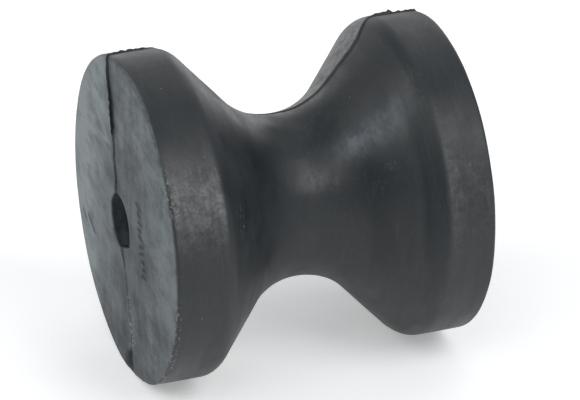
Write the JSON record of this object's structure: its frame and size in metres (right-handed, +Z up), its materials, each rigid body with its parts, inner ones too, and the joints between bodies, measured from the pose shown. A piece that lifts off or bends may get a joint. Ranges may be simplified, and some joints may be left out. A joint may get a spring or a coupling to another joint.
{
  "type": "boat trailer bow roller",
  "caption": "Black rubber hourglass roller with a deep saddle, two flat-rimmed flanges and a plain bore for a shaft.",
  "frame": {"origin": "centre of the roller, on the axis of the bore, midway between the end faces", "axes": "+Y along the bore, +Z up, with the roller lying on its two treads"},
  "size_m": [0.0742, 0.0762, 0.0742],
  "materials": {
    "rubber": "satin-matt moulded black rubber, greyer and dustier on the end faces"
  },
  "bodies": {
    "root": {"roller_body": "rubber"}
  },
  "joints": []
}
